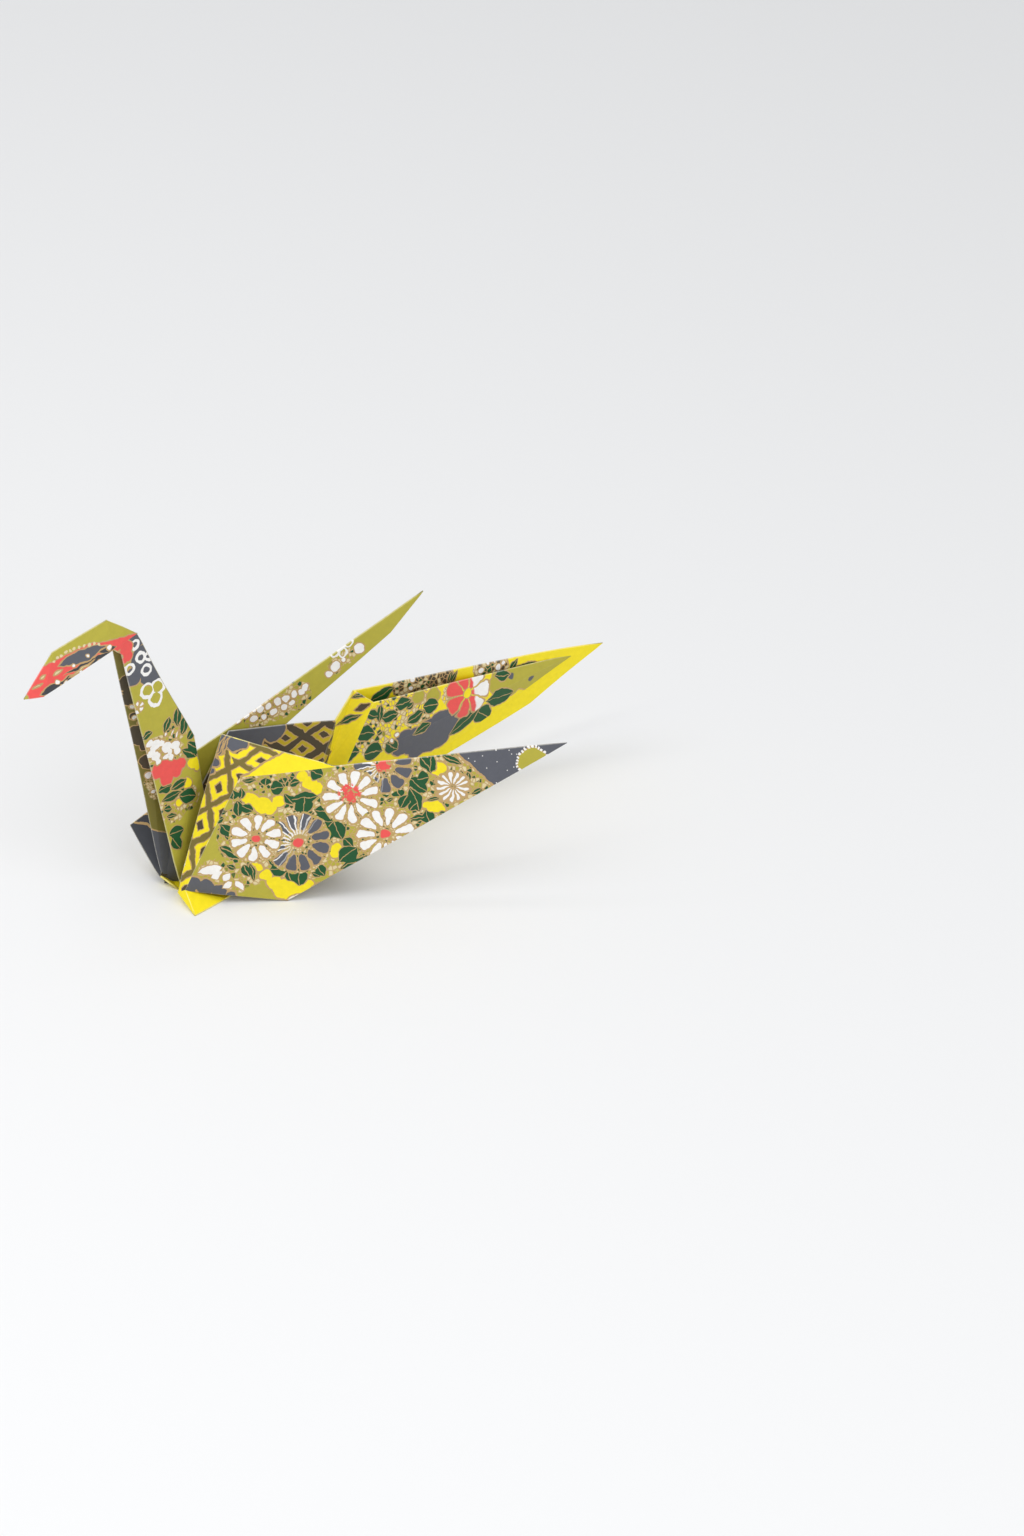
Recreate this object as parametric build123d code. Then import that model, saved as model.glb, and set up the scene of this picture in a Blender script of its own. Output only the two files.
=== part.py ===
# Origami crane folded from one square sheet of patterned paper.
# +X runs from the neck to the wing tips, +Y to the far wing, +Z up; the crane stands on z = 0.
# Every flap is a flat panel between fold points, and neighbouring panels share those points.
# Points are placed from the front of the pockets, and the finished crane is moved to the middle of its base.

import os

from build123d import *

# Sheet
paper = 0.5              # thickness of a pressed flap, with its folded layers
corner_radius = 0.6      # lump of paper where the folds of a pocket meet

# Base, a narrow folded floor under the neck
base_front_back = 2.0    # front of the base in the middle plane
base_length = 24.0       # from there to the point of its keel
near_corner_out = 9.5    # near front corner, the lowest point of the near pocket
near_tab_back = 7.7      # rear end of the tab below the near wing
near_tab_out = 7.1
far_corner_back = 2.5
far_corner_out = 5.0

# Pockets on both sides of the neck
pocket_gap = 3.5         # from the middle plane to each pocket's inner wall
wall_foot = 2.0          # height at which the inner walls leave the base

# Near pocket and wing
near_crest_back = 9.2    # top of the pocket's front edge
near_crest_height = 33.0
near_cheek_back = 0.7    # lower end of the wing's front edge
near_cheek_out = 4.9
near_cheek_height = 3.0
near_lip_back = 10.7     # upper end of the wing's front edge
near_lip_out = 7.5
near_lip_height = 25.6
near_foot_back = 17.4    # corner of the wing on the ground
near_foot_out = 13.2
near_tip_back = 65.1
near_tip_out = 33.2
near_tip_height = 29.7
pocket_mouth = 0.29      # share of the wing's top edge that the pocket's mouth takes

# Far pocket and wing, which is crimped behind the pocket
far_crest_back = 14.5
far_crest_height = 28.5
far_cheek_back = -2.2
far_cheek_out = 10.5
far_cheek_height = 9.7
far_lip_back = 14.0
far_lip_out = 7.0
far_lip_height = 20.0
far_wall_back = 37.0     # rear end of the inner wall
far_wall_height = 23.9
far_foot_back = 46.0
far_foot_out = 9.6
crimp_foot_out = 6.5
crimp_foot_height = 13.0
crimp_top_back = 43.6
crimp_top_out = 8.5
crimp_top_height = 26.1
crimp_width = 3.2        # strip between the two creases of the crimp
crimp_step = 1.8         # how far the layer behind the crimp stands nearer
crimp_drop = 2.6         # and how far its top edge lies lower
far_tip_back = 98.0
far_tip_out = 10.5
far_tip_height = 20.0
layer_setback = 7.0      # the nearer layer ends this far before the tip

# Neck, folded round its back edge and open at the front
neck_root = 1.0          # front edges at the base
neck_width = 9.5         # front edges to back fold, at the base
neck_lean = 11.6         # how far the front edges lean forward on their way up
neck_height = 54.0
shoulder_back = 5.2      # back fold where the neck leaves the pockets
shoulder_height = 32.0
nape_back = -6.6         # back fold at the head
nape_height = 56.8
neck_near_spread = 1.5   # front edges, out from the middle plane
neck_far_spread = 3.6

# Head, folded forward over the neck
crown_back = -12.8
crown_height = 61.1
brow_back = -23.7
brow_height = 57.4
beak_back = -30.5
beak_height = 49.4
throat_back = -12.2
throat_height = 55.6
jaw_back = -23.6
jaw_height = 52.7
head_spread = 1.3

# Tail, which comes up out of the far pocket
tail_out = 5.0
tail_root_back = 3.9
tail_root_height = 23.2
tail_root_depth = 10.5
tail_tip_back = 56.5
tail_tip_height = 45.3
tail_foot_back = 8.6
tail_spread = 1.3


def panel(*corners):
    """One flap: a fan of triangles from the first corner, each as thick as the paper."""
    flap = []
    for second, third in zip(corners[1:], corners[2:]):
        face = Face(Wire.make_polygon([corners[0], second, third], close=True))
        flap.append(extrude(face, amount=paper / 2, both=True))
    return flap


def pressed_corner(point):
    """The small lump where several folds meet in one point."""
    return Pos(point) * Sphere(corner_radius)


def ground(back, out):
    """A fold point that lies on the ground."""
    return Vector(back, out, paper / 2)


def toward(start, end, share):
    return start + (end - start) * share


# Fold points on the ground
base_front = ground(base_front_back, 0)
base_keel = ground(base_front_back + base_length, 0)
near_corner = ground(0, -near_corner_out)
near_tab = ground(near_tab_back, -near_tab_out)
near_foot = ground(near_foot_back, -near_foot_out)
far_corner = ground(far_corner_back, far_corner_out)
far_foot = ground(far_foot_back, far_foot_out)

# Fold points of the near side
near_wall = Vector(0, -pocket_gap, wall_foot)
near_crest = Vector(near_crest_back, -pocket_gap, near_crest_height)
near_cheek = Vector(near_cheek_back, -near_cheek_out, near_cheek_height)
near_lip = Vector(near_lip_back, -near_lip_out, near_lip_height)
near_tip = Vector(near_tip_back, -near_tip_out, near_tip_height)
near_mouth = toward(near_lip, near_tip, pocket_mouth)

# Fold points of the far side
far_wall = Vector(0, pocket_gap, wall_foot)
far_crest = Vector(far_crest_back, pocket_gap, far_crest_height)
far_cheek = Vector(far_cheek_back, far_cheek_out, far_cheek_height)
far_lip = Vector(far_lip_back, far_lip_out, far_lip_height)
far_wall_end = Vector(far_wall_back, pocket_gap, far_wall_height)
crimp_foot = Vector(far_wall_back, crimp_foot_out, crimp_foot_height)
crimp_top = Vector(crimp_top_back, crimp_top_out, crimp_top_height)
far_tip = Vector(far_tip_back, far_tip_out, far_tip_height)
layer_foot = crimp_foot + Vector(crimp_width, -crimp_step, 0)
layer_top = crimp_top + Vector(crimp_width, -crimp_step, -crimp_drop)
layer_tip = toward(far_tip, toward(crimp_top, far_foot, 0.5), layer_setback / (far_tip - crimp_top).length)

# Fold points of the neck's back edge
hip = ground(neck_root + neck_width, 0)
shoulder = Vector(shoulder_back, 0, shoulder_height)
nape = Vector(nape_back, 0, nape_height)


def make_base():
    near_half = panel(base_front, near_corner, near_tab, base_keel)
    far_half = panel(base_front, base_keel, far_foot, far_corner)
    sill = panel(base_front, near_wall, near_corner) + panel(base_front, far_corner, far_wall)
    return near_half + far_half + sill


def make_near_side():
    tab = panel(near_corner, near_tab, near_cheek, near_wall)
    fold = panel(near_wall, near_cheek, near_lip, near_crest)
    mouth = panel(near_crest, near_lip, near_mouth)
    inner = panel(near_wall, near_crest, near_mouth, base_keel)
    wing = panel(near_foot, near_tip, near_lip, near_cheek)
    return tab + fold + mouth + inner + wing


def make_far_side():
    front = panel(far_corner, far_wall, far_cheek)
    fold = panel(far_wall, far_cheek, far_lip, far_crest)
    inner = panel(far_wall, far_crest, far_wall_end, base_keel) + panel(far_wall_end, crimp_foot, base_keel)
    outer = panel(far_corner, far_foot, far_lip, far_cheek) + panel(far_lip, far_foot, crimp_foot)
    return front + fold + inner + outer


def make_far_wing():
    crimp = panel(far_wall_end, crimp_foot, crimp_top) + panel(crimp_foot, layer_foot, layer_top, crimp_top)
    blade = panel(far_foot, far_tip, crimp_top, crimp_foot)
    layer = panel(layer_foot, layer_top, layer_tip, far_foot)
    return crimp + blade + layer


def make_neck_side(out, head_out):
    front_foot = ground(neck_root, out)
    front_top = Vector(neck_root - neck_lean, out / 2, neck_height)
    throat = Vector(throat_back, head_out, throat_height)
    return panel(front_foot, hip, shoulder, nape, front_top) + panel(nape, throat, front_top)


def make_head_side(out):
    crown = Vector(crown_back, 0, crown_height)
    brow = Vector(brow_back, 0, brow_height)
    beak = Vector(beak_back, 0, beak_height)
    throat = Vector(throat_back, out, throat_height)
    jaw = Vector(jaw_back, out, jaw_height)
    return panel(crown, nape, throat, jaw, brow) + panel(brow, jaw, beak)


def make_tail_side(out):
    tip = Vector(tail_tip_back, tail_out, tail_tip_height)
    ridge = Vector(tail_root_back, tail_out, tail_root_height)
    open_edge = Vector(tail_root_back, tail_out + out, tail_root_height - tail_root_depth)
    root = ground(tail_foot_back, tail_out)
    return panel(tip, ridge, open_edge) + panel(ridge, open_edge, root)


def make_crane():
    flaps = make_base() + make_near_side() + make_far_side() + make_far_wing()
    flaps += make_neck_side(-neck_near_spread, -head_spread)
    flaps += make_neck_side(neck_far_spread, head_spread)
    for side in (-1, 1):
        flaps += make_head_side(side * head_spread) + make_tail_side(side * tail_spread)
    flaps += [pressed_corner(point) for point in (near_wall, far_wall, base_front)]
    folded = flaps[0].fuse(*flaps[1:])
    standing = split(folded, bisect_by=Plane.XY, keep=Keep.TOP)
    return Pos(-base_front_back - base_length / 2, 0, 0) * standing


os.makedirs("parts", exist_ok=True)
export_step(make_crane(), "parts/paper_crane.step")
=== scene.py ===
import math
import bpy
import bmesh
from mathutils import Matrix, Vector, noise


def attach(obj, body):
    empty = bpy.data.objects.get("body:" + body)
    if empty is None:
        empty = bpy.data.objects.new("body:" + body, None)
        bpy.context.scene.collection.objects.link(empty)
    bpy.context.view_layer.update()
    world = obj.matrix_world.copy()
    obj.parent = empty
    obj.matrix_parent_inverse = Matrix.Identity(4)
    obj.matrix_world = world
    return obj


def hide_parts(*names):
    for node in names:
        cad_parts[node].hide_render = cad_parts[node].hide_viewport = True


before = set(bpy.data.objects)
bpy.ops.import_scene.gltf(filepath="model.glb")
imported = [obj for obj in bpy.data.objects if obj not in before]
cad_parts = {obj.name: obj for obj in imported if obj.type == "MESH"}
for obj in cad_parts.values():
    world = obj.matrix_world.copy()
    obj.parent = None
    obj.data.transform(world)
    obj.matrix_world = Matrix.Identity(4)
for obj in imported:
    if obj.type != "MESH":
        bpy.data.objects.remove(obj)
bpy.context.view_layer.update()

mm = 0.001

# Where the photograph was taken from, in millimetres and pixels of its 1024 x 1536 frame
photo = {
    "size": (1024, 1536),
    "turn": 30.0,          # degrees round the crane from its near side
    "height": 30.0,        # degrees above the table
    "distance": 4000.0,
    "pixelsPerMm": 5.45,
    "corner": (195, 915),  # pixel of the near front corner of the base
}

# The sheet and its fold points, in millimetres from the front of the pockets
sheetSize = {
    "thickness": 0.36, "baseMiddle": 14.0, "mouthShare": 0.29,
    "grid": 4.0, "rimSteps": 4,
    "unevenness": 0.45, "waves": 0.045, "flatBelow": 6.0, "seed": 5,   # the foot stays flat on the ground
}
half = sheetSize["thickness"] / 2
fold = {
    "baseFront": (2, 0, half), "keel": (26, 0, half),
    "nearCorner": (0, -9.5, half), "nearTab": (7.7, -7.1, half), "nearFoot": (17.4, -13.2, half),
    "farCorner": (2.5, 5, half), "farFoot": (46, 9.6, half),
    "nearWall": (0, -3.5, 2), "nearCheek": (0.7, -4.9, 3), "nearLip": (10.7, -7.5, 25.6),
    "nearCrest": (9.2, -3.5, 33), "nearTip": (65.1, -33.2, 29.7),
    "farWall": (0, 3.5, 2), "farCheek": (-2.2, 10.5, 9.7), "farLip": (14, 7, 20),
    "farCrest": (14.5, 3.5, 28.5), "farWallEnd": (37, 3.5, 23.9), "farTip": (98, 10.5, 20),
    "bladeBend": (82.3, 10.3, 11.7),
    "crimpFoot": (37, 6.5, 13), "crimpTop": (43.6, 8.5, 26.1),
    "layerFoot": (40.2, 4.7, 13), "layerTop": (46.8, 6.7, 23.5), "layerTip": (91.2, 10.3, 19.1),
    "hip": (10.5, 0, half), "shoulder": (5.2, 0, 32), "nape": (-6.6, 0, 56.8),
    "frontFootNear": (2.2, -1.5, half), "frontTopNear": (-10.2, -0.75, 54),
    "frontFootFar": (1, 3.6, half), "frontTopFar": (-10.6, 1.8, 54),
    "crown": (-12.8, 0, 61.1), "brow": (-23.7, 0, 57.4), "beak": (-29.6, 0, 49.6),
    "throatNear": (-12.2, -1.3, 55.6), "throatFar": (-12.2, 1.3, 55.6),
    "jawNear": (-26.4, -1.3, 49.9), "jawFar": (-26.4, 1.3, 49.9),
    "tailTip": (56.5, 5, 45.3), "tailRidge": (3.9, 5, 23.2), "tailFoot": (8.6, 5, half),
    "tailEdgeNear": (3.9, 3.7, 12.7), "tailEdgeFar": (3.9, 6.3, 12.7),
    "tailBendNear": (49.4, 4.6, 39.1), "tailBendFar": (49.4, 5.4, 39.1),
}
point = {name: Vector(place) - Vector((sheetSize["baseMiddle"], 0, 0)) for name, place in fold.items()}
point["nearMouth"] = point["nearLip"].lerp(point["nearTip"], sheetSize["mouthShare"])


# Camera first, because the print is placed through it
def makeCamera():
    turn = math.radians(photo["turn"])
    height = math.radians(photo["height"])
    away = Vector((math.sin(turn), math.cos(turn), 0))
    right = Vector((math.cos(turn), -math.sin(turn), 0))
    up = away * math.sin(height) + Vector((0, 0, math.cos(height)))
    ahead = away * math.cos(height) - Vector((0, 0, math.sin(height)))
    scale = photo["pixelsPerMm"]
    wide, tall = photo["size"]
    sideways = (wide / 2 - photo["corner"][0]) / scale
    upward = (photo["corner"][1] - tall / 2) / scale
    eye = point["nearCorner"] + right * sideways + up * upward - ahead * photo["distance"]
    cam = bpy.data.objects.new("camera", bpy.data.cameras.new("camera"))
    bpy.context.collection.objects.link(cam)
    cam.data.sensor_width = 36
    cam.data.lens = photo["distance"] * 36 * scale / tall
    cam.data.clip_start = 0.01
    cam.data.clip_end = 20
    cam.location = eye * mm
    cam.rotation_mode = "QUATERNION"
    cam.rotation_quaternion = ahead.to_track_quat("-Z", "Y")
    bpy.context.scene.camera = cam
    return eye, right, up, ahead


eye, camRight, camUp, camAhead = makeCamera()
print("camera placed")


def photoRay(x, y):
    wide, tall = photo["size"]
    reach = photo["distance"] * photo["pixelsPerMm"]
    return (camAhead * reach + camRight * (x - wide / 2) - camUp * (y - tall / 2)).normalized()


# Shader maths as expressions: a Wire is one output socket of a material's tree
class Wire:
    def __init__(self, tree, out):
        self.tree = tree
        self.out = out

    def add(self, kind, settings=None, sockets=None, out=0):
        node = self.tree.nodes.new(kind)
        for key, value in (settings or {}).items():
            setattr(node, key, value)
        for key, value in (sockets or {}).items():
            if isinstance(value, Wire):
                self.tree.links.new(value.out, node.inputs[key])
            else:
                node.inputs[key].default_value = value
        return Wire(self.tree, node.outputs[out] if node.outputs else None)

    def math(self, operation, *others):
        values = dict(enumerate((self,) + others))
        return self.add("ShaderNodeMath", {"operation": operation}, values)

    def __add__(self, other):
        return self.math("ADD", other)

    def __sub__(self, other):
        return self.math("SUBTRACT", other)

    def __rsub__(self, other):
        return self.add("ShaderNodeMath", {"operation": "SUBTRACT"}, {0: other, 1: self})

    def __mul__(self, other):
        return self.math("MULTIPLY", other)

    def __truediv__(self, other):
        return self.math("DIVIDE", other)

    def __abs__(self):
        return self.math("ABSOLUTE")

    __radd__ = __add__
    __rmul__ = __mul__

    def least(self, other):
        return self if other is None else self.math("MINIMUM", other)

    def most(self, other):
        return self.math("MAXIMUM", other)

    def clamp(self):
        return self.add("ShaderNodeClamp", None, {0: self})

    def within(self, soft=0.06):   # 1 where a signed distance is negative
        return (0.5 - self / soft).clamp()

    def vector(self, operation, *others):
        values = dict(enumerate((self,) + others))
        return self.add("ShaderNodeVectorMath", {"operation": operation}, values)

    def mix(self, low, high):   # colours, by this factor
        return self.add("ShaderNodeMix", {"data_type": "RGBA"}, {0: self, 6: low, 7: high}, out=2)


def rgb(red, green, blue):   # display colour, 0 to 255
    return tuple((c / 255) ** 2.2 for c in (red, green, blue)) + (1.0,)


ink = {
    "olive": rgb(180, 170, 58), "yellow": rgb(246, 224, 14), "grey": rgb(88, 90, 98),
    "green": rgb(8, 80, 38), "white": rgb(244, 242, 238), "coral": rgb(236, 84, 80),
    # the darker olive here is olive print with painted shade, for the neck's inner strip
    "gold": rgb(194, 160, 108), "brown": rgb(118, 104, 46), "olivePaintedShade": rgb(126, 116, 40),
    "tan": rgb(180, 150, 92), "umber": rgb(74, 64, 44), "raw": rgb(236, 230, 212),
    # the darker yellow on the last line is yellow print with painted shade, for the hump
    "shadow": rgb(58, 60, 66), "cream": rgb(222, 206, 158), "yellowPaintedShade": rgb(196, 172, 24),
}


# Paper and printing: lengths in millimetres on the sheet, bumpDepth in metres
paper = {
    "drift": 0.9, "driftScale": 0.5,   # how far the hand strays from the drawing
    "leafBatch": 14,
    # the rims fade towards bare paper: partly worn ink, partly a painted highlight
    "fibreScale": 900.0, "weaveScale": 2600.0, "wearAndHighlight": 0.55,
    "darkest": 0.86, "fibreTone": 0.28,
    "roughness": 0.58, "giltGloss": 0.2, "giltMetal": 0.35,
    "bump": 0.25, "bumpDepth": 0.00006,
}


# One flap's print: colours are laid over one another, and gold lines run between them
class Print:
    def __init__(self, name, ground):
        self.material = bpy.data.materials.new(name)
        self.material.use_nodes = True
        tree = self.material.node_tree
        tree.nodes.clear()
        self.plain = Wire(tree, None).add("ShaderNodeUVMap", {"uv_map": "print"})
        drift = self.plain.add("ShaderNodeTexNoise", {"noise_dimensions": "2D"},
                               {"Vector": self.plain, "Scale": paper["driftScale"], "Detail": 2.0}, out=1)
        drift = drift.vector("SUBTRACT", (0.5, 0.5, 0.5))
        self.hand = drift.vector("MULTIPLY_ADD", (paper["drift"], paper["drift"], 0), self.plain)
        self.u, self.v = self.parts(self.hand)
        self.colour = self.plain.add("ShaderNodeRGB")
        self.colour.out.default_value = ink[ground]
        self.gilt = self.u * 0.0

    def parts(self, vector):
        x = vector.add("ShaderNodeSeparateXYZ", None, {0: vector})
        return x, Wire(x.tree, x.out.node.outputs[1])

    def lay(self, mask, colour):
        self.colour = mask.mix(self.colour, colour if isinstance(colour, Wire) else ink[colour])
        self.gilt = self.gilt * (1 - mask)

    def goldLine(self, distance, width=0.13, where=None):
        line = (abs(distance) - width).within()
        line = line if where is None else line * where
        self.colour = line.mix(self.colour, ink["gold"])
        self.gilt = self.gilt.most(line)

    def polar(self, u, v):
        du = self.u - u
        dv = self.v - v
        return (du * du + dv * dv).math("SQRT"), dv.math("ARCTAN2", du)

    def blob(self, discs, swell=1.0):   # signed distance to a union of discs
        shape = None
        for u, v, radius in discs:
            du = self.u - u
            dv = self.v - v
            shape = (dv.math("MULTIPLY_ADD", dv, du * du).math("SQRT") - radius * swell).least(shape)
        return shape

    def side(self, ends):   # signed distance to a line, negative on its left
        (u0, v0), (u1, v1) = ends
        length = math.hypot(u1 - u0, v1 - v0)
        return (self.u - u0) * ((v1 - v0) / length) - (self.v - v0) * ((u1 - u0) / length)

    def field(self, colour, shape, line=0.13):
        self.lay(shape.within(), colour)
        self.goldLine(shape, line)
        return shape.within()

    def voronoi(self, scale, feature="F1", randomness=1.0, out=0):
        return self.plain.add("ShaderNodeTexVoronoi", {"voronoi_dimensions": "2D", "feature": feature},
                              {"Vector": self.plain, "Scale": scale, "Randomness": randomness}, out)

    def scatter(self, scale, randomness=1.0):   # the nearest of many places, and a number for each
        place = self.voronoi(scale, randomness=randomness, out=2)
        tint = place.add("ShaderNodeTexWhiteNoise", {"noise_dimensions": "2D"}, {"Vector": place})
        return place, tint

    def cells(self, where, size=0.75, width=0.08):   # the dense gold line work round the flowers
        tint = self.scatter(1 / size)[1]
        self.lay((0.66 - tint).within(0.02) * where, "cream")
        self.lay((tint - 0.16).within(0.02) * where, "green")
        edge = self.voronoi(1 / size, "DISTANCE_TO_EDGE")
        self.goldLine(edge * size, width, where)

    # Each leaf from stalk to tip, with half its width; a batch at a time keeps the shader small
    def leaves(self, spots, colour="green", vein=True, line=0.12, bold=1.0):
        batch = paper["leafBatch"]
        for start in range(0, len(spots), batch):
            shape = None
            veins = None
            for u0, v0, u1, v1, wide in spots[start:start + batch]:
                length = math.hypot(u1 - u0, v1 - v0)
                cos = (u1 - u0) / length
                sin = (v1 - v0) / length
                long = length / 2 * (0.7 + bold * 0.3)
                wide = wide * bold
                middle = (u0 + u1) / 2, (v0 + v1) / 2
                along = self.u.math("MULTIPLY_ADD", cos / long, -(middle[0] * cos + middle[1] * sin) / long)
                along = self.v.math("MULTIPLY_ADD", sin / long, along)
                across = self.u.math("MULTIPLY_ADD", -sin, middle[0] * sin - middle[1] * cos)
                across = abs(self.v.math("MULTIPLY_ADD", cos, across))
                one = across + (along * along).math("MULTIPLY_ADD", wide, -wide)
                shape = one.least(shape)
                if vein:
                    veins = across.most(one + 0.35).least(veins)
            self.lay(shape.within(), colour)
            self.goldLine(shape, line)
            if vein:
                self.goldLine(veins, 0.07)

    def rays(self, out, angle, count):   # distance to the nearest of some lines from a centre
        return abs((angle * (count / math.tau)).math("FRACT") - 0.5) * out * (math.tau / count)

    def petals(self, out, angle, radius, count, slim, turn, inner=0.3):
        share = (angle + turn) * (count / math.tau)
        bend = (share.math("FRACT") - 0.5) * (math.tau / count)
        along = out * bend.math("COSINE")
        across = out * bend.math("SINE")
        middle = radius * (1 + inner) / 2
        wide = middle * math.pi / count * slim
        ex = (along - middle) / (radius * (1 - inner) / 2)
        ey = across / (along * (wide / middle)).most(0.05)   # wider outwards
        return ((ex.math("POWER", 4.0) + ey * ey).math("SQRT") - 1) * wide

    # Slim, core and inner are shares of a petal's room and of the flower's radius
    def flower(self, u, v, radius, count=10, colour="white", heart="coral", slim=0.78, turn=0.0, core=0.19,
               halo=True, inner=0.32):
        out, angle = self.polar(u, v)
        if halo:
            inside = (out - radius * 1.05).within()
            self.lay(inside, "olive")
            self.goldLine(self.rays(out, angle + turn, count * 3), 0.07, inside)
            self.cells(inside, 0.5)
        shape = self.petals(out, angle, radius, count, slim, turn, inner)
        self.lay(shape.within(), colour)
        self.goldLine(shape, 0.12)
        if heart:
            self.field(heart, out - radius * core, 0.1)

    def strokes(self, u, v, radius, count, where):   # fine white strokes on one side of a flower
        out, angle = self.polar(u, v)
        rays = self.rays(out, angle, count * 2)
        inside = (abs(out - radius * 0.62) - radius * 0.34).within()
        self.lay((rays - 0.12).within() * inside * where, "white")

    def specks(self, where, spacing, size, colour="white"):
        spot = self.voronoi(1 / spacing)
        self.lay((spot * spacing - size).within() * where, colour)

    def rings(self, spots, colour="white", width=0.3):   # tie-dyed rings
        shape = None
        for u, v, radius in spots:
            shape = (abs(self.polar(u, v)[0] - radius) - width).least(shape)
        self.lay(shape.within(), colour)

    def lattice(self, where, settings):   # crossed bars with a square in each mesh
        pitch = settings["pitch"]
        first = (self.u * settings["slant"] + self.v) / pitch
        second = (self.u * settings["slant"] - self.v) / pitch
        a = abs(first.math("FRACT") - 0.5)
        b = abs(second.math("FRACT") - 0.5)
        squares = ((0.5 - a).most(0.5 - b)) * pitch - settings["square"]
        bars = a.least(b) * pitch - settings["bar"]
        self.lay(squares.within() * where, settings["squareInk"])
        self.goldLine(squares, 0.1, where)
        self.lay(bars.within() * where, settings["barInk"])
        self.goldLine(bars, 0.1, where)

    def allOver(self):   # the sheet's pattern where the photograph doesn't show it
        clouds = {"scale": 0.075, "yellowFrom": 0.56, "greyTo": 0.4, "steepness": 24}
        leaf = {"scale": 0.27, "randomness": 0.85, "wide": 0.85, "taper": 0.36, "vein": 1.1}
        bloom = {"scale": 0.085, "randomness": 0.6, "halo": 5.0, "radius": 4.7, "petals": 10, "heart": 0.9}
        patch = self.plain.add("ShaderNodeTexNoise", {"noise_dimensions": "2D"},
                               {"Vector": self.hand, "Scale": clouds["scale"], "Detail": 1.0})
        self.field("yellow", (clouds["yellowFrom"] - patch) * clouds["steepness"])
        self.field("grey", (patch - clouds["greyTo"]) * clouds["steepness"])
        place, tint = self.scatter(leaf["scale"], leaf["randomness"])
        local = self.hand.vector("SUBTRACT", place)
        turned = local.add("ShaderNodeVectorRotate", {"rotation_type": "Z_AXIS"},
                           {"Vector": local, "Angle": tint * math.tau})
        x, y = self.parts(turned)
        shape = abs(y) - (1 - x * x * leaf["taper"]) * leaf["wide"]
        self.lay(shape.within(), "green")
        self.goldLine(shape, 0.12)
        self.goldLine(abs(y).most(abs(x) - leaf["vein"]), 0.07)
        place, tint = self.scatter(bloom["scale"], bloom["randomness"])
        x, y = self.parts(self.hand.vector("SUBTRACT", place))
        out = (x * x + y * y).math("SQRT")
        angle = y.math("ARCTAN2", x) + tint * 6.0   # each flower turned its own way
        inside = (out - bloom["halo"]).within()
        self.lay(inside, "olive")
        self.cells(inside, 0.5)
        shape = self.petals(out, angle, bloom["radius"], bloom["petals"], 0.78, 0.0)
        dark = (0.5 - tint).within(0.02)
        self.lay(shape.within(), dark.mix(ink["white"], ink["grey"]))
        self.goldLine(shape, 0.12)
        self.field("coral", out - bloom["heart"], 0.1)

    def finish(self):
        place = self.plain.add("ShaderNodeTexCoord", None, None, out=3)
        fibre = place.add("ShaderNodeTexNoise", None,
                          {"Vector": place, "Scale": paper["fibreScale"], "Detail": 6.0, "Roughness": 0.7})
        weave = place.add("ShaderNodeTexNoise", None,
                          {"Vector": place, "Scale": paper["weaveScale"], "Detail": 2.0})
        rim = self.plain.add("ShaderNodeAttribute", {"attribute_name": "rim"}, None, out=2)
        wornEdgeAndHighlight = (rim * fibre * 1.1).clamp() * paper["wearAndHighlight"]   # ink rubbed off along the edges, and a painted highlight on the rounded rims
        colour = wornEdgeAndHighlight.mix(self.colour, ink["raw"])
        tone = paper["darkest"] + fibre * paper["fibreTone"]
        shade = tone.add("ShaderNodeCombineXYZ", None, {0: tone, 1: tone, 2: tone})
        colour = colour.vector("MULTIPLY", shade)
        grain = fibre * 0.6 + weave * 0.4 + self.gilt * 0.5
        bump = grain.add("ShaderNodeBump", None, {
            "Strength": paper["bump"], "Distance": paper["bumpDepth"], "Height": grain,
        })
        shader = bump.add("ShaderNodeBsdfPrincipled", None, {
            "Base Color": colour,
            "Roughness": paper["roughness"] - self.gilt * paper["giltGloss"],
            "Metallic": self.gilt * paper["giltMetal"],
            "Normal": bump,
        })
        shader.add("ShaderNodeOutputMaterial", None, {"Surface": shader})
        return self.material


# The folded sheet: each flap is a thin slab with rounded edges, and each group of flaps has one flat map
class Flap:
    def __init__(self, names):
        first, second, third = (point[name] for name in names[:3])
        self.origin = first
        self.normal = (second - first).cross(third - first).normalized()
        self.along = (second - first).normalized()
        self.across = self.normal.cross(self.along)

    def flat(self, place):
        local = place - self.origin
        return local.dot(self.along), local.dot(self.across)

    def fromPhoto(self, x, y):
        ray = photoRay(x, y)
        return self.flat(eye + ray * ((self.origin - eye).dot(self.normal) / ray.dot(self.normal)))

    def placed(self, spots):   # pixels of the photograph to millimetres on the flap
        found = []
        for spot in spots:
            pixels = 4 if len(spot) > 4 else 2
            ends = [self.fromPhoto(*spot[i:i + 2]) for i in range(0, pixels, 2)]
            found.append(sum(ends, ()) + tuple(spot[pixels:]))
        return found

    def layOut(self, layout):
        return {key: self.placed(spots) for key, spots in layout.items()}


noise.seed_set(sheetSize["seed"])


def unevenPlace(place):   # the same gentle unevenness for every flap, so that folds stay closed
    drift = noise.noise_vector(place * sheetSize["waves"]) * sheetSize["unevenness"]
    return place + drift * min(max(place.z, 0) / sheetSize["flatBelow"], 1)


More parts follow.
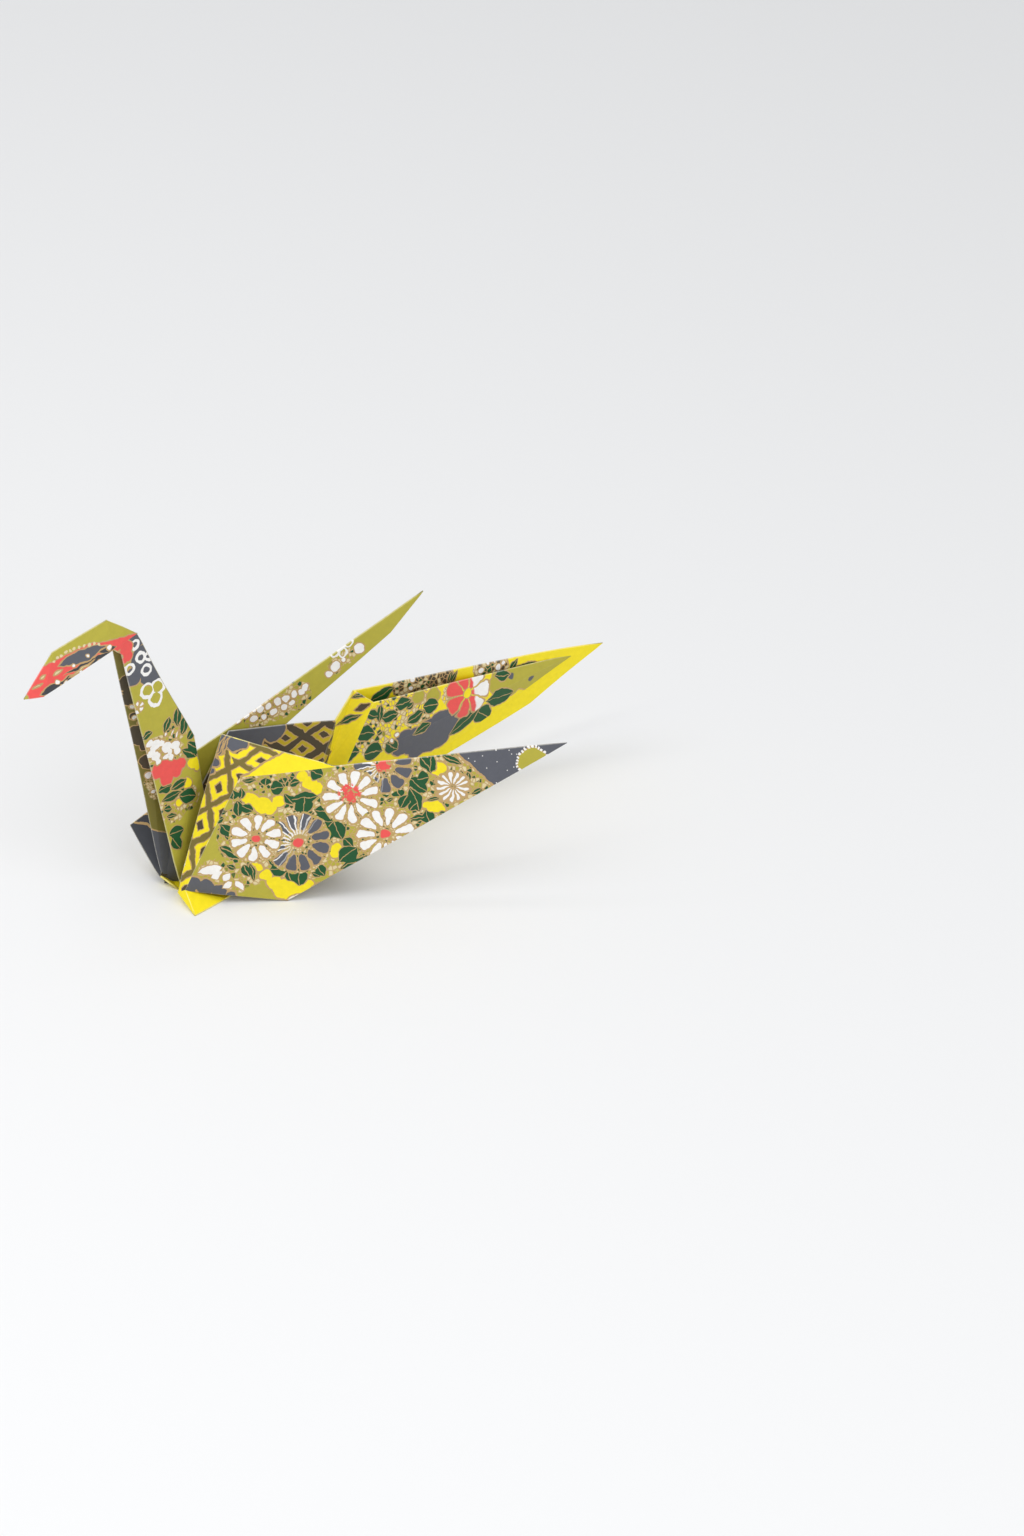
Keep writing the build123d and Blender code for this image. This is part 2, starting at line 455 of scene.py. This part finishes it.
def addTriangle(bm, layers, corners, flap, front, back):
    normal = (corners[1] - corners[0]).cross(corners[2] - corners[0]).normalized()
    longest = max((corners[i] - corners[i - 1]).length for i in range(3))
    count = max(2, math.ceil(longest / sheetSize["grid"]))
    spots = {}

    def gridPlace(i, j):
        return corners[0] + (corners[1] - corners[0]) * (i / count) + (corners[2] - corners[0]) * (j / count)

    def newVert(place, offset, rim=0.0):
        vert = bm.verts.new((unevenPlace(place) + offset) * mm)
        vert[layers["rim"]] = rim
        spots[vert] = flap.flat(place)
        return vert

    sheets = []
    made = []
    for lift, slot in ((half, front), (-half, back)):
        grid = {}
        for i in range(count + 1):
            for j in range(count + 1 - i):
                grid[i, j] = newVert(gridPlace(i, j), normal * lift)
        sheets.append(grid)
        for i, j in grid:
            if i + j < count:
                made.append((bm.faces.new((grid[i, j], grid[i + 1, j], grid[i, j + 1])), slot))
            if i + j < count - 1:
                made.append((bm.faces.new((grid[i + 1, j], grid[i + 1, j + 1], grid[i, j + 1])), slot))
    loop = [(k, 0) for k in range(count)]
    loop += [(count - k, k) for k in range(count)]
    loop += [(0, count - k) for k in range(count)]
    outwards = [(corners[(i + 1) % 3] - corners[i]).normalized().cross(normal) for i in range(3)]
    rims = []
    for index, key in enumerate(loop):
        outward = outwards[index // count]
        if index % count == 0:
            outward = (outward + outwards[index // count - 1]).normalized()
        place = gridPlace(*key)
        rim = [sheets[0][key]]
        for k in range(1, sheetSize["rimSteps"]):
            angle = math.pi * (0.5 - k / sheetSize["rimSteps"])
            rim.append(newVert(place, (normal * math.sin(angle) + outward * math.cos(angle)) * half, 1.0))
        rims.append(rim + [sheets[1][key]])
    for rim, other in zip(rims, rims[1:] + rims[:1]):
        for k in range(sheetSize["rimSteps"]):
            made.append((bm.faces.new((rim[k], rim[k + 1], other[k + 1], other[k])), front))
        for end in (0, -1):
            bm.edges.get((rim[end], other[end])).smooth = False
    for face, slot in made:
        face.material_index = slot
        face.smooth = True
        for corner in face.loops:
            corner[layers["print"]].uv = spots[corner.vert]


# Each group of flaps shares one print, drawn on the plane of its first three points or of those in maps
groups = {
    "nearWing": [("nearFoot", "nearTip", "nearLip", "nearCheek")],
    "nearTab": [("nearCorner", "nearTab", "nearCheek", "nearWall")],
    "nearFold": [("nearWall", "nearCheek", "nearLip", "nearCrest")],
    "nearMouth": [("nearCrest", "nearLip", "nearMouth")],
    "nearInner": [("nearWall", "nearCrest", "nearMouth", "keel")],
    "base": [("baseFront", "nearCorner", "nearTab", "keel"), ("baseFront", "keel", "farFoot", "farCorner"),
             ("baseFront", "nearWall", "nearCorner"), ("baseFront", "farCorner", "farWall")],
    "farFold": [("farWall", "farCheek", "farLip", "farCrest"), ("farCorner", "farWall", "farCheek")],
    "farInner": [("farWall", "farCrest", "farWallEnd", "keel"), ("farWallEnd", "crimpFoot", "keel")],
    "farOuter": [("farCorner", "farFoot", "farLip", "farCheek"), ("farLip", "farFoot", "crimpFoot")],
    "crimp": [("crimpFoot", "layerFoot", "layerTop", "crimpTop"), ("farWallEnd", "crimpFoot", "crimpTop")],
    "farBlade": [("farFoot", "bladeBend", "farTip", "crimpTop", "crimpFoot")],
    "farLayer": [("layerFoot", "layerTop", "layerTip", "farFoot")],
}
for end in ("Near", "Far"):
    groups["neck" + end] = [("frontFoot" + end, "hip", "shoulder", "nape", "frontTop" + end),
                            ("nape", "throat" + end, "frontTop" + end)]
    groups["head" + end] = [("crown", "nape", "throat" + end, "jaw" + end, "brow"),
                            ("brow", "jaw" + end, "beak")]
    groups["tail" + end] = [("tailTip", "tailRidge", "tailEdge" + end, "tailBend" + end),
                            ("tailRidge", "tailEdge" + end, "tailFoot")]
maps = {
    "nearFold": ("nearCheek", "nearLip", "nearCrest"), "nearMouth": ("nearLip", "nearMouth", "nearCrest"),
    "farInner": ("farCrest", "farWallEnd", "keel"), "farBlade": ("farFoot", "farTip", "crimpTop"),
    "headNear": ("crown", "throatNear", "jawNear"), "headFar": ("crown", "throatFar", "jawFar"),
}
flaps = {name: Flap(maps.get(name, outlines[0])) for name, outlines in groups.items()}
slots = {name: index for index, name in enumerate(groups)}
backs = {"farBlade": "farOuter"}   # a group whose far side has another group's print


# Prints, with their motifs at pixels of the photograph and radii or half widths in millimetres
def nearWingPrint():
    layout = {
        "cells": [
            (261, 834, 8.1), (298, 842, 8.1), (255, 794, 4.9), (289, 794, 6.1), (329, 834, 7.4),
            (356, 796, 7.4), (376, 831, 6.4), (342, 860, 3.9), (250, 869, 3.4), (386, 778, 7.3),
            (426, 786, 6.7), (454, 783, 5.9), (397, 826, 5.9), (434, 806, 4.4), (474, 783, 3.2),
            (214, 872, 2.8), (234, 881, 2.6),
        ],
        "yellow": [
            (251, 799, 1.2), (261, 804, 1.4), (269, 807, 1.1), (277, 800, 1.1), (301, 775, 1),
            (309, 782, 1.2), (316, 788, 1.1), (259, 866, 0.7), (266, 874, 1), (274, 882, 1.2),
            (282, 889, 1.5), (292, 890, 1.7), (309, 885, 1), (337, 850, 1.2), (440, 768, 1.3),
            (435, 806, 1.2), (442, 808, 0.6), (255, 862, 0.6), (300, 889, 1.4), (286, 884, 1.2),
            (246, 796, 0.9), (427, 804, 0.7),
        ],
        "grey": [(195, 882, 1.5), (206, 886, 1.7), (219, 891, 1.6), (231, 895, 1), (190, 890, 1.2)],
        "tipLine": [(456, 752), (493, 784)],
        "moon": [(533, 760, 2.7, 26)],   # with its count of beads
        "leaves": [
            (232, 789, 234, 798, 0.9), (241, 787, 240, 797, 0.6), (237, 800, 238, 815, 0.8),
            (241, 805, 251, 809, 0.9), (217, 812, 227, 810, 0.5), (213, 821, 224, 817, 0.7),
            (220, 825, 234, 835, 0.9), (224, 835, 232, 837, 0.5), (221, 846, 241, 857, 0.7),
            (227, 864, 236, 868, 0.5), (244, 864, 248, 875, 0.7), (250, 863, 254, 880, 0.5),
            (242, 779, 255, 779, 0.5), (265, 776, 264, 784, 0.9), (270, 787, 282, 785, 1.2),
            (281, 775, 282, 781, 0.6), (288, 775, 293, 776, 0.7), (288, 783, 299, 781, 0.6),
            (284, 793, 292, 803, 0.8), (290, 798, 316, 796, 1), (304, 797, 302, 814, 1.3),
            (315, 809, 334, 813, 1.2), (311, 817, 325, 821, 1), (318, 823, 333, 820, 1),
            (326, 826, 332, 840, 1.4), (335, 821, 342, 838, 1.2), (339, 820, 346, 826, 0.9),
            (344, 838, 354, 845, 0.9), (341, 860, 357, 847, 1.4), (341, 868, 368, 855, 0.6),
            (268, 859, 281, 861, 0.9), (270, 869, 288, 867, 1.3), (288, 870, 292, 880, 0.7),
            (300, 867, 300, 885, 1.3), (318, 865, 324, 875, 0.9), (312, 872, 320, 876, 0.5),
            (311, 770, 321, 775, 1), (420, 756, 432, 768, 0.8), (432, 754, 432, 772, 0.8),
            (418, 778, 430, 776, 1.2), (411, 778, 427, 790, 1.3), (382, 792, 391, 791, 0.7),
            (388, 800, 394, 797, 0.4), (398, 788, 400, 796, 1), (401, 806, 409, 794, 0.8),
            (412, 787, 420, 810, 0.9), (410, 809, 417, 801, 0.7), (410, 819, 426, 815, 0.5),
            (427, 810, 429, 822, 1), (443, 755, 463, 764, 0.5), (462, 769, 462, 779, 0.5),
            (468, 771, 470, 779, 0.4), (472, 793, 482, 789, 0.5), (426, 799, 442, 797, 0.35),
            (439, 813, 447, 812, 0.5),
        ],
        "petals": [
            (199, 872, 222, 866, 0.75), (212, 877, 222, 870, 0.6), (224, 880, 230, 872, 0.55),
            (224, 887, 232, 880, 0.5), (235, 879, 244, 889, 0.5),
        ],
        "dark": [(298, 842, 6.0, 12), (384, 765, 5.5, 11)],
        "daisies": [(255, 837, 4.8, 10), (351, 796, 5.4, 11), (386, 833, 5.3, 11)],
        "pale": [(453, 786, 3.3, 13)],
        "paleSides": [(276, 868), (312, 818), (378, 790), (384, 745)],
        "blush": [(350, 793, 2.1), (384, 764, 1.5)],
        "raw": [(287, 900, 302, 893, 0.5)],
        "hem": [(304, 894, 329, 879, 0.5)],
    }
    spots = flaps["nearWing"].layOut(layout)
    sheet = Print("nearWingPrint", "olive")
    sheet.cells(sheet.blob(spots["cells"]).within(0.3))
    sheet.field("yellow", sheet.blob(spots["yellow"], 1.25), 0.17)
    sheet.field("grey", sheet.blob(spots["grey"]), 0.17)
    sheet.leaves(spots["leaves"], bold=1.35)
    for index, (u, v, radius, count) in enumerate(spots["dark"]):
        sheet.flower(u, v, radius, count, "grey", core=0.17, inner=0.42, slim=0.86)
        pale = sheet.side(spots["paleSides"][index * 2:index * 2 + 2])
        sheet.strokes(u, v, radius, count, pale.within(3.0))
    for u, v, radius, count in spots["daisies"]:
        sheet.flower(u, v, radius, count, core=0.17)
    for u, v, radius, count in spots["pale"]:
        sheet.flower(u, v, radius, count, heart=None, inner=0.1)
    stipple = (0.45 - sheet.scatter(2.8)[1]).within(0.02)
    sheet.lay(sheet.blob(spots["blush"]).within(0.6) * stipple, "coral")
    sheet.leaves(spots["petals"], "white", vein=False, bold=1.35)
    tip = sheet.side(spots["tipLine"])
    sheet.field("grey", tip, 0.2)
    sheet.specks(tip.within(), 2.2, 0.1)
    u, v, radius, count = spots["moon"][0]
    out, angle = sheet.polar(u, v)
    sheet.field("olive", out - radius, 0.1)
    beads = abs((angle * (count / math.tau)).math("FRACT") - 0.5) - 0.3
    sheet.lay((abs(out - radius - 0.1) - 0.22).within() * beads.within(0.1), "white")
    sheet.leaves(spots["hem"], "olive", vein=False)
    sheet.leaves(spots["raw"], "raw", vein=False)
    return sheet.finish()


def latticePrint(name, group, settings, layout):
    spots = flaps[group].layOut(layout)
    sheet = Print(name, settings["ground"])
    where = sheet.side(spots["plain"]) if "plain" in spots else sheet.u * 0 - 1
    sheet.lattice(where.within(), settings)
    if "plain" in spots:
        sheet.goldLine(where, 0.2)
    sheet.field("grey", sheet.blob(spots["grey"]), 0.17)
    if "swirls" in spots:
        sheet.leaves(spots["swirls"], "grey", vein=False)
    return sheet.finish()


def neckPrint():
    layout = {
        "cells": [(160, 753, 3.3), (173, 758, 3.3), (175, 808, 3.3), (188, 798, 2.7), (176, 730, 2.5)],
        "grey": [
            (140, 642, 1.8), (146, 660, 2.9), (153, 674, 2.4), (136, 678, 2), (134, 638, 1.2),
            (158, 670, 2.4),
        ],
        "rings": [(138, 647, 0.9), (144, 659, 0.9), (150, 671, 1), (133, 670, 0.9), (152, 657, 0.8)],
        "coral": [
            (121, 647, 1.2), (129, 650, 1.6), (131, 657, 1.2), (127, 663, 0.7), (162, 771, 2),
            (172, 769, 2.1), (181, 764, 1.3), (168, 779, 1.7), (178, 773, 1.2),
        ],
        "lobes": [(150, 691, 1.4), (160, 687, 1.4), (158, 698, 1.4)],
        "star": [(141, 708, 1.3, 5)],
        "blossom": [
            (152, 745, 0.7), (158, 746, 0.9), (168, 748, 1), (176, 745, 0.9), (178, 751, 0.7),
            (153, 755, 0.7), (158, 758, 0.9), (160, 763, 0.6), (167, 758, 0.6), (172, 758, 0.6),
            (163, 744, 0.6), (155, 750, 0.6), (171, 753, 0.6),
        ],
        "yellow": [(193, 762, 1.4), (198, 766, 0.9), (188, 783, 1.1), (181, 803, 0.9)],
        "leaves": [
            (166, 734, 170, 717, 0.7), (177, 726, 179, 708, 0.8), (182, 734, 186, 713, 0.8),
            (187, 740, 193, 728, 0.8), (145, 739, 154, 733, 0.6), (183, 749, 196, 755, 0.9),
            (188, 742, 199, 752, 1), (198, 750, 204, 760, 0.7), (161, 794, 173, 786, 1),
            (164, 803, 182, 793, 0.9), (173, 790, 187, 780, 0.8), (181, 797, 196, 795, 1.3),
            (171, 836, 185, 829, 1.2), (174, 838, 182, 848, 1), (166, 811, 174, 810, 0.6),
            (168, 818, 179, 815, 0.5),
        ],
        "strokes": [(166, 738, 168, 733, 0.3), (172, 737, 175, 728, 0.25), (176, 738, 179, 729, 0.25)],
    }
    spots = flaps["neckNear"].layOut(layout)
    sheet = Print("neckPrint", "olive")
    sheet.cells(sheet.blob(spots["cells"]).within(0.3))
    sheet.field("grey", sheet.blob(spots["grey"]))
    sheet.rings(spots["rings"])
    sheet.field("yellow", sheet.blob(spots["yellow"]))
    sheet.leaves(spots["leaves"], bold=1.25)
    sheet.field("coral", sheet.blob(spots["coral"]))
    sheet.lay((abs(sheet.blob(spots["lobes"])) - 0.3).within(), "white")
    for u, v, radius, count in spots["star"]:
        sheet.flower(u, v, radius, count, heart="tan", halo=False)
    sheet.field("white", sheet.blob(spots["blossom"], 1.25))
    sheet.leaves(spots["strokes"], "white", vein=False)
    return sheet.finish()


def neckFrontPrintPaintedShade():
    layout = {
        "umber": [
            (122, 672, 1.1), (123, 677, 1.4), (126, 684, 1.1), (127, 691, 1.6), (131, 709, 0.9),
            (136, 726, 1.7), (138, 732, 1.9), (141, 741, 0.9), (145, 756, 1.4), (146, 762, 0.9),
        ],
        "white": [(130, 699, 0.5), (132, 711, 0.5), (138, 716, 0.4), (147, 772, 0.8), (153, 789, 0.6)],
        "tan": [(152, 781, 1.6), (155, 791, 1.4)],
        "greyLine": [(176, 833), (150, 827)],
    }
    spots = flaps["neckFar"].layOut(layout)
    # the ground is olive print darkened as painted shade, where this inner strip lies in shadow
    sheet = Print("neckFrontPrintPaintedShade", "olivePaintedShade")
    sheet.field("umber", sheet.blob(spots["umber"]), 0.1)
    sheet.cells(sheet.blob(spots["tan"]).within(0.3), 0.5)
    sheet.field("white", sheet.blob(spots["white"]))
    sheet.field("grey", sheet.side(spots["greyLine"]))
    return sheet.finish()


def headPrint():
    layout = {
        "brow": [(84, 646), (50, 664)],
        "crown": [(136, 635), (84, 646)],
        "beads": [
            (55, 662, 0.3), (58, 658, 0.3), (62, 656, 0.3), (66, 653, 0.3), (70, 651, 0.3), (74, 649, 0.3),
            (79, 648, 0.3), (84, 646, 0.3), (89, 646, 0.3), (94, 645, 0.3), (99, 645, 0.3),
        ],
        "eye": [(58, 667, 106, 646, 1.25)],
        "shade": [(64, 676, 118, 648, 0.45), (96, 654, 116, 646, 0.5)],
        "dark": [(42, 696, 60, 684, 0.8), (54, 689, 83, 673, 0.75)],
        "white": [
            (58, 682, 0.5), (66, 683, 0.45), (62, 686, 0.35), (80, 673, 0.4), (74, 666, 0.3),
            (87, 656, 0.3), (108, 648, 0.5),
        ],
        "scrolls": [
            (42, 681, 47, 675, 0.25), (36, 690, 44, 684, 0.2), (54, 676, 62, 670, 0.3),
            (70, 678, 92, 661, 0.2),
        ],
        "tip": [(27, 699, 0.8)],
    }
    spots = flaps["headNear"].layOut(layout)
    sheet = Print("headPrint", "coral")
    sheet.field("olive", sheet.side(spots["brow"]).least(sheet.side(spots["crown"])))
    sheet.leaves(spots["dark"], "shadow", vein=False)
    sheet.leaves(spots["shade"], "shadow", vein=False, line=0.05)
    sheet.leaves(spots["eye"], "grey", vein=False)
    sheet.leaves(spots["scrolls"], "cream", vein=False)
    sheet.lay(sheet.blob(spots["beads"]).within(), "cream")
    sheet.field("white", sheet.blob(spots["white"]), 0.08)
    sheet.field("olive", sheet.blob(spots["tip"]), 0.1)
    return sheet.finish()


def tailPrint():
    layout = {
        "tan": [(277, 706, 2.9), (257, 714, 2.9), (297, 696, 2.9), (336, 665, 1.6), (348, 655, 1.5)],
        "blossom": [
            (237, 720, 0.8), (245, 714, 0.8), (253, 718, 0.8), (259, 709, 0.8), (267, 706, 0.8),
            (273, 712, 0.8), (277, 702, 0.9), (285, 698, 0.8), (283, 707, 0.8), (293, 694, 0.8),
            (301, 692, 0.8), (305, 687, 0.9), (291, 703, 0.7), (253, 709, 0.6), (263, 717, 0.7),
        ],
        "rings": [(334, 652, 0.9), (341, 645, 0.9), (349, 641, 0.9), (343, 652, 0.8)],
        "white": [(359, 648, 1.1), (335, 666, 1.1), (329, 674, 0.8), (344, 659, 0.6)],
    }
    spots = flaps["tailNear"].layOut(layout)
    sheet = Print("tailPrint", "olive")
    sheet.cells(sheet.blob(spots["tan"]).within(0.3))
    sheet.field("white", sheet.blob(spots["blossom"]))
    sheet.field("white", sheet.blob(spots["white"]))
    sheet.rings(spots["rings"], width=0.18)
    return sheet.finish()


def farLayerPrint():
    layout = {
        "cells": [(392, 712, 4.2), (417, 710, 3.9), (373, 737, 4.2), (450, 695, 2.1)],
        "olive": [
            (501, 682, 2.8), (517, 676, 3.3), (530, 674, 3.3), (513, 687, 2.1), (540, 669, 3),
            (417, 697, 1.4), (432, 697, 1.6), (560, 662, 3), (580, 655, 3),
        ],
        "grey": [
            (406, 745, 2.6), (417, 743, 2.8), (429, 737, 3.2), (441, 728, 2.9), (451, 721, 2.2),
            (425, 750, 2.4), (446, 739, 2.5), (437, 746, 2.2), (455, 732, 1.6),
        ],
        "leaves": [
            (393, 707, 410, 700, 1), (422, 708, 437, 705, 1.2), (406, 724, 422, 713, 0.9),
            (414, 735, 429, 724, 0.9), (380, 720, 396, 714, 0.9), (377, 723, 380, 705, 0.7),
            (364, 714, 377, 717, 0.8), (354, 735, 374, 734, 1.2), (337, 754, 358, 753, 1.6),
            (364, 755, 382, 751, 1.5), (385, 744, 400, 752, 1.1), (405, 711, 412, 702, 0.5),
            (488, 702, 514, 694, 1.4), (496, 720, 478, 712, 1.5), (458, 738, 481, 709, 1.3),
            (494, 677, 510, 675, 0.8),
        ],
        "bloom": [(467, 694, 5.0)],
        "whiteSide": [(478, 714), (471, 676)],
        "dots": [(511, 677, 0.6), (531, 680, 0.6)],
        "white": [(396, 736, 0.5), (391, 742, 0.5)],
    }
    spots = flaps["farLayer"].layOut(layout)
    sheet = Print("farLayerPrint", "yellow")
    sheet.cells(sheet.blob(spots["cells"]).within(0.3))
    sheet.field("olive", sheet.blob(spots["olive"]))
    sheet.field("grey", sheet.blob(spots["grey"], 1.12))
    sheet.lay(sheet.blob(spots["dots"]).within(0.2), "grey")
    sheet.leaves(spots["leaves"], bold=1.3)
    sheet.field("white", sheet.blob(spots["white"]))
    pale = sheet.side(spots["whiteSide"]).within(0.3)
    for u, v, radius in spots["bloom"]:
        colour = pale.mix(ink["coral"], ink["white"])
        sheet.flower(u, v, radius, 7, colour, "yellow", 0.95, 0.3, halo=False, inner=0.12)
    return sheet.finish()


def farBladePrint():
    layout = {
        "umber": [
            (402, 685, 2.4), (417, 685, 2.4), (432, 684, 2.4), (444, 680, 2), (482, 669, 2),
            (494, 667, 2.1), (501, 666, 1.5),
        ],
        "white": [
            (411, 680, 0.7), (409, 689, 0.6), (425, 692, 0.4), (481, 671, 0.7), (488, 664, 0.5),
            (498, 668, 0.7), (503, 664, 0.5), (494, 663, 0.4),
        ],
        "leaves": [
            (369, 702, 392, 688, 1.1), (451, 683, 456, 672, 0.5), (447, 685, 451, 673, 0.4),
            (508, 672, 517, 660, 0.6), (517, 667, 537, 664, 0.5),
        ],
    }
    spots = flaps["farBlade"].layOut(layout)
    sheet = Print("farBladePrint", "yellow")
    brown = sheet.field("umber", sheet.blob(spots["umber"]))
    sheet.cells(brown, 0.8)
    sheet.leaves(spots["leaves"], bold=1.3)
    sheet.field("white", sheet.blob(spots["white"]))
    return sheet.finish()


def crimpPrint():
    layout = {
        "leaves": [(334, 725, 362, 715, 0.7), (317, 757, 330, 752, 0.8), (349, 697, 371, 693, 0.5)],
        "umber": [(353, 711, 369, 704, 0.6)],
    }
    spots = flaps["crimp"].layOut(layout)
    sheet = Print("crimpPrint", "yellow")
    sheet.leaves(spots["umber"], "umber", vein=False)
    sheet.leaves(spots["leaves"])
    return sheet.finish()


def cheekPrint():
    layout = {"twigs": [(132, 815, 154, 815, 0.1), (136, 822, 172, 832, 0.12), (161, 848, 162, 852, 0.2)]}
    sheet = Print("cheekPrint", "shadow")
    sheet.leaves(flaps["farFold"].placed(layout["twigs"]), "tan", vein=False)
    return sheet.finish()


def plainPrint(name, colour):
    return Print(name, colour).finish()


def hiddenPrint(name, ground):
    sheet = Print(name, ground)
    sheet.allOver()
    return sheet.finish()


def makePrints():
    strip = {"ground": "yellow", "pitch": 5.2, "slant": 0.62, "bar": 0.62, "square": 0.8,
             "barInk": "brown", "squareInk": "umber"}
    # painted shade on the hump's lattice: a darker yellow ground and wider, darker bars
    humpPaintedShade = {"ground": "yellowPaintedShade", "bar": 0.85, "barInk": "umber"}
    crest = {
        "grey": [
            (223, 737, 1.3), (233, 741, 1.7), (241, 741, 1.3), (218, 749, 1.1), (215, 762, 1),
            (211, 771, 0.7),
        ],
        "swirls": [(216, 755, 225, 735, 0.25), (221, 752, 230, 735, 0.2), (213, 757, 217, 737, 0.2)],
    }
    edge = {"plain": [(242, 775), (286, 748)]}
    hump = {"grey": [(237, 730, 3.2), (257, 728, 3.2), (273, 730, 2.6), (245, 745, 4)]}
    hidden = hiddenPrint("hiddenPrint", "olive")
    prints = {
        "nearWing": nearWingPrint(),
        "nearFold": latticePrint("nearFoldPrint", "nearFold", strip, crest),
        "nearMouth": latticePrint("nearMouthPrint", "nearMouth", strip, crest | edge),
        "farInner": latticePrint("humpPrintPaintedShade", "farInner", strip | humpPaintedShade, hump),
        "nearTab": plainPrint("tabPrint", "yellow"),
        "farFold": cheekPrint(),
        "crimp": crimpPrint(),
        "farBlade": farBladePrint(),
        "farLayer": farLayerPrint(),
        "neckNear": neckPrint(),
        "neckFar": neckFrontPrintPaintedShade(),
        "headNear": headPrint(),
        "tailNear": tailPrint(),
    }
    prints["base"] = prints["nearTab"]
    prints["headFar"] = prints["headNear"]
    prints["tailFar"] = prints["tailNear"]
    return {name: prints.get(name, hidden) for name in groups}


def makeCrane():
    prints = makePrints()
    print("prints made", len(prints))
    mesh = bpy.data.meshes.new("foldedCrane")
    bm = bmesh.new()
    layers = {"print": bm.loops.layers.uv.new("print"), "rim": bm.verts.layers.float.new("rim")}
    for name, outlines in groups.items():
        mesh.materials.append(prints[name])
        for names in outlines:
            outline = [point[n] for n in names]
            for second, third in zip(outline[1:], outline[2:]):
                corners = (outline[0], second, third)
                addTriangle(bm, layers, corners, flaps[name], slots[name], slots[backs.get(name, name)])
    bmesh.ops.recalc_face_normals(bm, faces=bm.faces)
    bm.to_mesh(mesh)
    bm.free()
    crane = bpy.data.objects.new("foldedCrane", mesh)
    bpy.context.collection.objects.link(crane)
    return crane


crane = makeCrane()
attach(crane, "root")
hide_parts("paper_crane")
print("crane folded", len(crane.data.polygons))


# Floor, light and world
def makeFloor():
    settings = {"size": 6.0, "colour": (0.80, 0.80, 0.80, 1.0), "roughness": 0.9, "shine": 0.1}
    mesh = bpy.data.meshes.new("floor")
    bm = bmesh.new()
    bmesh.ops.create_grid(bm, x_segments=1, y_segments=1, size=settings["size"] / 2)
    bm.to_mesh(mesh)
    bm.free()
    floor = bpy.data.objects.new("floor", mesh)
    bpy.context.collection.objects.link(floor)
    pale = bpy.data.materials.new("paleFloor")
    pale.use_nodes = True
    shader = pale.node_tree.nodes["Principled BSDF"]
    shader.inputs["Base Color"].default_value = settings["colour"]
    shader.inputs["Roughness"].default_value = settings["roughness"]
    shader.inputs["Specular IOR Level"].default_value = settings["shine"]
    mesh.materials.append(pale)


def makeLights():
    lamps = {
        "key": {"place": (-0.45, 0.1, 0.9), "size": 0.8, "watts": 7.0},
        "fill": {"place": (0.1, -0.9, 0.7), "size": 1.0, "watts": 5.5},
    }
    for name, lamp in lamps.items():
        data = bpy.data.lights.new(name, "AREA")
        data.energy = lamp["watts"]
        data.size = lamp["size"]
        light = bpy.data.objects.new(name, data)
        bpy.context.collection.objects.link(light)
        light.location = lamp["place"]
        light.rotation_mode = "QUATERNION"
        light.rotation_quaternion = (-Vector(lamp["place"])).to_track_quat("-Z", "Y")
    sky = {"colour": (0.95, 0.97, 1.0, 1.0), "strength": 0.45}
    world = bpy.data.worlds.new("studio")
    bpy.context.scene.world = world
    world.use_nodes = True
    background = world.node_tree.nodes["Background"]
    background.inputs["Color"].default_value = sky["colour"]
    background.inputs["Strength"].default_value = sky["strength"]


makeFloor()
makeLights()
bpy.context.scene.view_settings.view_transform = "Standard"
print("stage set")
